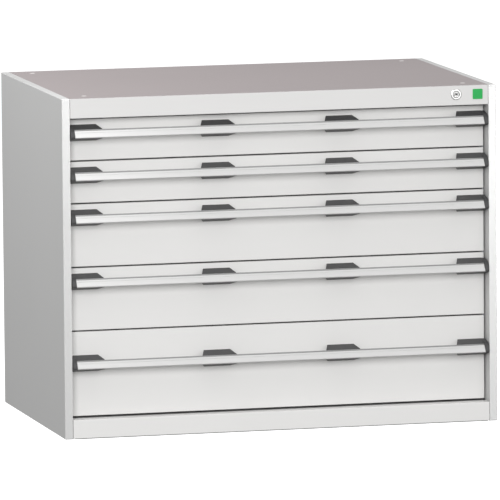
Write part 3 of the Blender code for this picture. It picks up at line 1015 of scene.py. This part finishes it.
def gripPlastics(number):
    body = f"drawer_{number}"
    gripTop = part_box(body + "_grip_strip")[1].z
    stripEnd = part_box(body + "_grip_strip")[1].x
    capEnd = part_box(body + "_end_cap_right")[1].x
    inner, outer = plasticParts["capInner"], stripEnd + plasticParts["capPastStrip"]
    cap = plasticBody(plasticParts["capFoot"], gripTop, inner, outer, [(inner, 1)])
    cheekPoints = [(frontY + y, gripTop + z) for y, z in plasticParts["cheek"]]
    cheekPoints = roundCorners(cheekPoints, plasticParts["cheekRadii"])
    cheek = drawnOut(cheekPoints, "X", stripEnd + plasticParts["cheekGap"], capEnd)
    clipLow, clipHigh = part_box(body + "_clip_right")
    middle = (clipLow.x + clipHigh.x) / 2
    inner, outer = middle - plasticParts["clipHalf"], middle + plasticParts["clipHalf"]
    clip = plasticBody(plasticParts["clipFoot"], gripTop, inner, outer, [(inner, 1), (outer, -1)])
    for side, capMesh, cheekMesh, clipMesh in (
        ("right", cap, cheek, clip),
        ("left", flipped(cap), flipped(cheek), flipped(clip)),
    ):
        piece = addPiece(f"{body}_{side}_cap", capMesh, "plastic", body, [f"{body}_end_cap_{side}"])
        cutWith(piece, cheekMesh, "UNION")
        settle(softEdges(piece, plasticParts["round"], 3, 50), 30)
        piece = addPiece(f"{body}_{side}_clip", clipMesh, "plastic", body, [f"{body}_clip_{side}"])
        settle(softEdges(piece, plasticParts["round"], 3, 50), 30)


for number in range(1, drawerCount + 1):
    frontPan(number)
    drawerTray(number)
    gripStrip(number)
    gripPlastics(number)
    print("drawer", number, "built")


# radii about the lock's axis, and depths behind the housing's front plane or the lock's face
lock = {
    "bore": 0.0084,
    "boreLip": 0.0006,
    "barrel": 0.0107,
    "barrelEnd": 0.028,
    "rimFillet": [(0.0022, 0), (0.0009, 0.0003), (0, 0.0012)],  # in from the ring's radius, back from its face
    "ringBack": 0.0003,
    "nutRadius": 0.0150,
    "nutDepths": (0.0018, 0.0058),
    "nutSlack": 0.0001,
    "coreFace": [(0, 0.0005), (0.0066, 0.0005), (0.0073, 0.0012), (0.0073, 0.0040), (0.0081, 0.0044)],
    "coreRadius": 0.0081,
    "crankDepths": (0.046, 0.049),
    "crankRound": 0.0004,
    "keySlots": [(0.0011 / 2, 0.0072 / 2), (0.0011, 0.0012)],  # half width, half height
    "keyDepth": 0.006,
    "slotFloor": (0.0016, 0.0040),
    "slotFloorDepths": (0.0040, 0.0050),
    "pinRadius": 0.0084853,
    "pin": {"radius": 0.002, "start": 0.0485, "end": 0.0610, "round": 0.0004},
}


def boxAround(centre, halfWidth, halfHeight, front, back):
    return boxOf(
        centre + Vector((-halfWidth, front, -halfHeight)),
        centre + Vector((halfWidth, back, halfHeight)),
    )


def lockSet():
    low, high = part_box("lock_housing")
    centre = Vector(((low.x + high.x) / 2, frontY, (low.z + high.z) / 2))
    axis = (centre.x, centre.z)
    radius = (high.x - low.x) / 2
    face = low.y - frontY
    bore, barrel = lock["bore"], lock["barrel"]
    ring = [
        (bore, face + 0.0008),
        (bore + lock["boreLip"], face + 0.0001),
        *((radius - inwards, face + back) for inwards, back in lock["rimFillet"]),
        (radius, -lock["ringBack"]),
        (barrel, -lock["ringBack"]),
        (barrel, lock["barrelEnd"]),
        (bore, lock["barrelEnd"]),
    ]
    settle(addPiece("lock_ring", turned(ring, centre, 64), "chrome", "cabinet", ["lock_housing"]), 40)
    corners = [math.pi / 3 * k for k in range(6)]
    reach = lock["nutRadius"]
    hexagon = [(centre.x + reach * math.cos(a), centre.z + reach * math.sin(a)) for a in corners]
    start, end = (frontY + depth for depth in lock["nutDepths"])
    nut = addPiece("lock_nut", drawnOut(hexagon, "Y", start, end), "zinc", "cabinet")
    cutWith(nut, cylinderAlong("Y", barrel + lock["nutSlack"], frontY - 0.01, frontY + 0.02, axis, 48))
    coreLow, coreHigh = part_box("lock_cylinder")
    crank = (coreHigh.x - coreLow.x) / 2
    start, end = lock["crankDepths"]
    soft = lock["crankRound"]
    core = [
        *((r, face + back) for r, back in lock["coreFace"]),
        (lock["coreRadius"], start),
        (crank - soft, start),
        (crank, start + soft),
        (crank, end - soft),
        (crank - soft, end),
        (0, end),
    ]
    plug = addPiece("lock_core", turned(core, centre, 64), "chrome", "lock_cylinder", ["lock_cylinder"])
    for halfWidth, halfHeight in lock["keySlots"]:
        slot = boxAround(centre, halfWidth, halfHeight, face - 0.001, face + lock["keyDepth"])
        cutWith(plug, toMesh(slot, outwards=True))
    # a near-black liner at the bottom of the key slot stands in for the shade deep in the keyway: painted shade
    start, end = (face + depth for depth in lock["slotFloorDepths"])
    liner = boxAround(centre, *lock["slotFloor"], start, end)
    settle(addPiece("key_slot_floor", toMesh(liner), "keyway", "lock_cylinder"))
    pin = lock["pinRadius"] / math.sqrt(2)
    spot = (centre.x + pin, centre.z - pin)  # 45 degrees below the axis at rest
    shape = lock["pin"]
    pinMesh = cylinderAlong("Y", shape["radius"], frontY + shape["start"], frontY + shape["end"], spot, 24)
    settle(softEdges(addPiece("crank_pin", pinMesh, "chrome", "lock_cylinder"), shape["round"], 2, 60))


bar = {
    "sheet": 0.003,
    "armFront": 0.0002,
    "armHeight": 0.0165,
    "armTop": 0.0004,
    "armLap": 0.001,
    "slotInset": 0.0064,
    "slotLength": 0.0077,
    "slotDrop": 0.0085,
    "slotHalf": 0.0026,
    "slotRound": 0.0024,
    "pegRadius": 0.003,
    "pegEnd": 0.4925,
    "pegLap": 0.0005,
    "pegDepth": 0.063,
    "pegRise": 0.076,
    "round": 0.0006,
}


def lockBar():
    low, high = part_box("lock_bar")
    inner = high.x - bar["sheet"]
    uprightMesh = toMesh(boxOf((inner, low.y, low.z), high))
    upright = addPiece("lock_upright", uprightMesh, "zinc", "lock_bar", ["lock_bar"])
    settle(softEdges(upright, bar["round"], 2))
    armBack = low.y + bar["sheet"]
    armMesh = toMesh(boxOf(
        (low.x, low.y + bar["armFront"], high.z - bar["armHeight"]),
        (inner + bar["armLap"], armBack, high.z - bar["armTop"]),
    ))
    arm = addPiece("lock_arm", armMesh, "zinc", "lock_bar")
    slotLow = low.x + bar["slotInset"]
    slotHigh = slotLow + bar["slotLength"]
    under = high.z - bar["slotDrop"] - bar["slotHalf"]
    over = high.z - bar["slotDrop"] + bar["slotHalf"]
    slot = [(slotLow, under), (slotHigh, under), (slotHigh, over), (slotLow, over)]
    cutWith(arm, drawnOut(roundCorners(slot, bar["slotRound"]), "Y", low.y - 0.01, armBack + 0.01))
    pegs = []
    for number in range(1, drawerCount + 1):
        spot = (frontY + bar["pegDepth"], floorOf(number) + bar["pegRise"])
        pegs.append(cylinderAlong("X", bar["pegRadius"], bar["pegEnd"], inner + bar["pegLap"], spot, 24))
    settle(softEdges(addPiece("lock_pegs", joined(pegs), "zinc", "lock_bar"), bar["round"], 2, 60))


badge = {"corner": 0.0022, "rim": 0.0011, "slope": 0.0004, "sink": 0.0003, "round": 0.0002}


def badgePlate():
    low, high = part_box("badge_plate")
    square = [(low.x, low.z), (high.x, low.z), (high.x, high.z), (low.x, high.z)]
    outline = roundCorners(square, badge["corner"], 6)
    bm = bmesh.new()
    bm.from_mesh(drawnOut(outline, "Y", low.y, high.y))
    bm.faces.ensure_lookup_table()
    face = min(bm.faces, key=lambda f: f.calc_center_median().y)
    bmesh.ops.inset_region(bm, faces=[face], thickness=badge["rim"], use_even_offset=True)
    bmesh.ops.inset_region(bm, faces=[face], thickness=badge["slope"], use_even_offset=True)
    bmesh.ops.translate(bm, vec=(0, badge["sink"], 0), verts=face.verts)
    plate = addPiece("badge", toMesh(bm), "badge", "cabinet", ["badge_plate"])
    settle(softEdges(plate, badge["round"], 2, 50))


lockSet()
lockBar()
badgePlate()
print("lock and badge built")


view = {
    "spot": (-4.74469, -18.76603, 2.80132),
    "azimuth": -14.20317,
    "elevation": 7.10456,
    "roll": -0.46702,
    "lens": 589.062,
    "sensor": 36.0,
}


def addCamera():
    azimuth = math.radians(view["azimuth"])
    elevation = math.radians(view["elevation"])
    roll = math.radians(view["roll"])
    back = Vector(
        (math.sin(azimuth) * math.cos(elevation), -math.cos(azimuth) * math.cos(elevation), math.sin(elevation))
    )
    right = Vector((0, 0, 1)).cross(back).normalized()
    up = back.cross(right)
    acrossRolled = right * math.cos(roll) + up * math.sin(roll)
    upRolled = up * math.cos(roll) - right * math.sin(roll)
    camera = bpy.data.objects.new("camera", bpy.data.cameras.new("camera"))
    camera.data.lens = view["lens"]
    camera.data.sensor_width = view["sensor"]
    camera.data.clip_end = 200
    turn = Matrix((acrossRolled, upRolled, back)).transposed().to_4x4()
    camera.matrix_world = Matrix.Translation(view["spot"]) @ turn
    bpy.context.scene.collection.objects.link(camera)
    bpy.context.scene.camera = camera


studio = {
    "ambient": 0.36,
    "backdrop": 1.02,
    "floorReach": 60,
    "floorTone": 0.45,
    "floorGlow": 0.94,
    "lights": {
        "key": {
            "spot": (-2.9, -7.5, 2.9), "aim": (0, -0.3, 0.4),
            "size": (3.8, 3.4), "power": 460,
        },
        "fill": {
            "spot": (3.0, -6.5, 1.9), "aim": (0.3, -0.3, 0.4),
            "size": (2.0, 2.0), "power": 44,
        },
        "canopy": {
            "spot": (0.6, -2.4, 4.8), "aim": (0.3, -0.3, 0.5),
            "size": (6.0, 3.4), "power": 38,
        },
        "overhead": {
            "spot": (1.1, 1.8, 4.4), "aim": (0.2, 0.1, 0.8),
            "size": (2.4, 1.6), "power": 44,
        },
        "side": {
            "spot": (-1.7, 0.1, 2.4), "aim": (-0.5, 0, 0.8),
            "size": (1.0, 1.0), "power": 30,
        },
        "leftEdge": {
            "spot": (-0.30, -0.95, 1.20), "aim": (-0.5, -0.32, 0.75),
            "size": (0.5, 0.3), "power": 5.0, "only": "left_side",
        },
        "rightEdge": {
            "spot": (0.65, -1.10, 0.67), "aim": (0.52, -0.32, 0.55),
            "size": (0.3, 0.6), "power": 4.7, "only": "right_side",
        },
        "rightTop": {
            "spot": (0.30, -0.2, 1.7), "aim": (0.52, 0.0, 0.8),
            "size": (0.3, 0.7), "power": 1.6, "only": "right_side",
        },
        "stripSheen": {
            "spot": (-0.36, -0.82, 1.68), "aim": (-0.45, -0.33, 0.68),
            "size": (0.5, 0.3), "power": 0.38, "only": "_grip",
        },
        "rear": {
            "spot": (3.2, 4.2, 0.4), "aim": (0.1, 0.2, 0.4),
            "size": (3.0, 0.6), "power": 110,
        },
        "glint": {
            "spot": (0.9, -1.9, 0.55), "aim": (0.43, -0.33, 0.78),
            "size": (0.9, 0.8), "power": 3.1, "only": "lock_",
        },
    },
}


def addFloor():
    bm = bmesh.new()
    bmesh.ops.create_grid(bm, x_segments=1, y_segments=1, size=studio["floorReach"])
    floor = bpy.data.objects.new("floor", toMesh(bm))
    paint = Paint(
        "floor_white",
        {
            "Base Color": [studio["floorTone"]] * 3,
            "Roughness": 0.9,
            "Specular IOR Level": 0.0,
            "Emission Color": (1, 1, 1),
            "Emission Strength": studio["floorGlow"],
        },
    )
    floor.data.materials.append(paint.material)
    floor.visible_diffuse = False
    floor.visible_glossy = False
    bpy.context.scene.collection.objects.link(floor)


def addSoftbox(name, setting):
    lamp = bpy.data.lights.new(name + "_light", "AREA")
    lamp.shape = "RECTANGLE"
    lamp.size, lamp.size_y = setting["size"]
    lamp.energy = setting["power"]
    box = bpy.data.objects.new(name + "_light", lamp)
    spot = Vector(setting["spot"])
    aim = (Vector(setting["aim"]) - spot).to_track_quat("-Z", "Y")
    box.matrix_world = Matrix.Translation(spot) @ aim.to_matrix().to_4x4()
    bpy.context.scene.collection.objects.link(box)
    if "only" in setting:
        lit = bpy.data.collections.new(name + "_lit")
        for piece in bpy.context.scene.objects:
            if setting["only"] in piece.name:
                lit.objects.link(piece)
        box.light_linking.receiver_collection = lit


def addWorld():
    # the empty studio looks white, and lights the cabinet less than it shows
    sky = Paint("studio", {"Color": (1, 1, 1)}, "worlds", "Background")
    seen = sky.node("ShaderNodeLightPath", out="Is Camera Ray")
    strength = studio["ambient"] + (studio["backdrop"] - studio["ambient"]) * seen
    sky.feed(sky.shader.inputs["Strength"], strength)
    bpy.context.scene.world = sky.material


addCamera()
addFloor()
addWorld()
for name, setting in studio["lights"].items():
    addSoftbox(name, setting)
bpy.context.scene.view_settings.view_transform = "Standard"
print("camera, floor and light set")
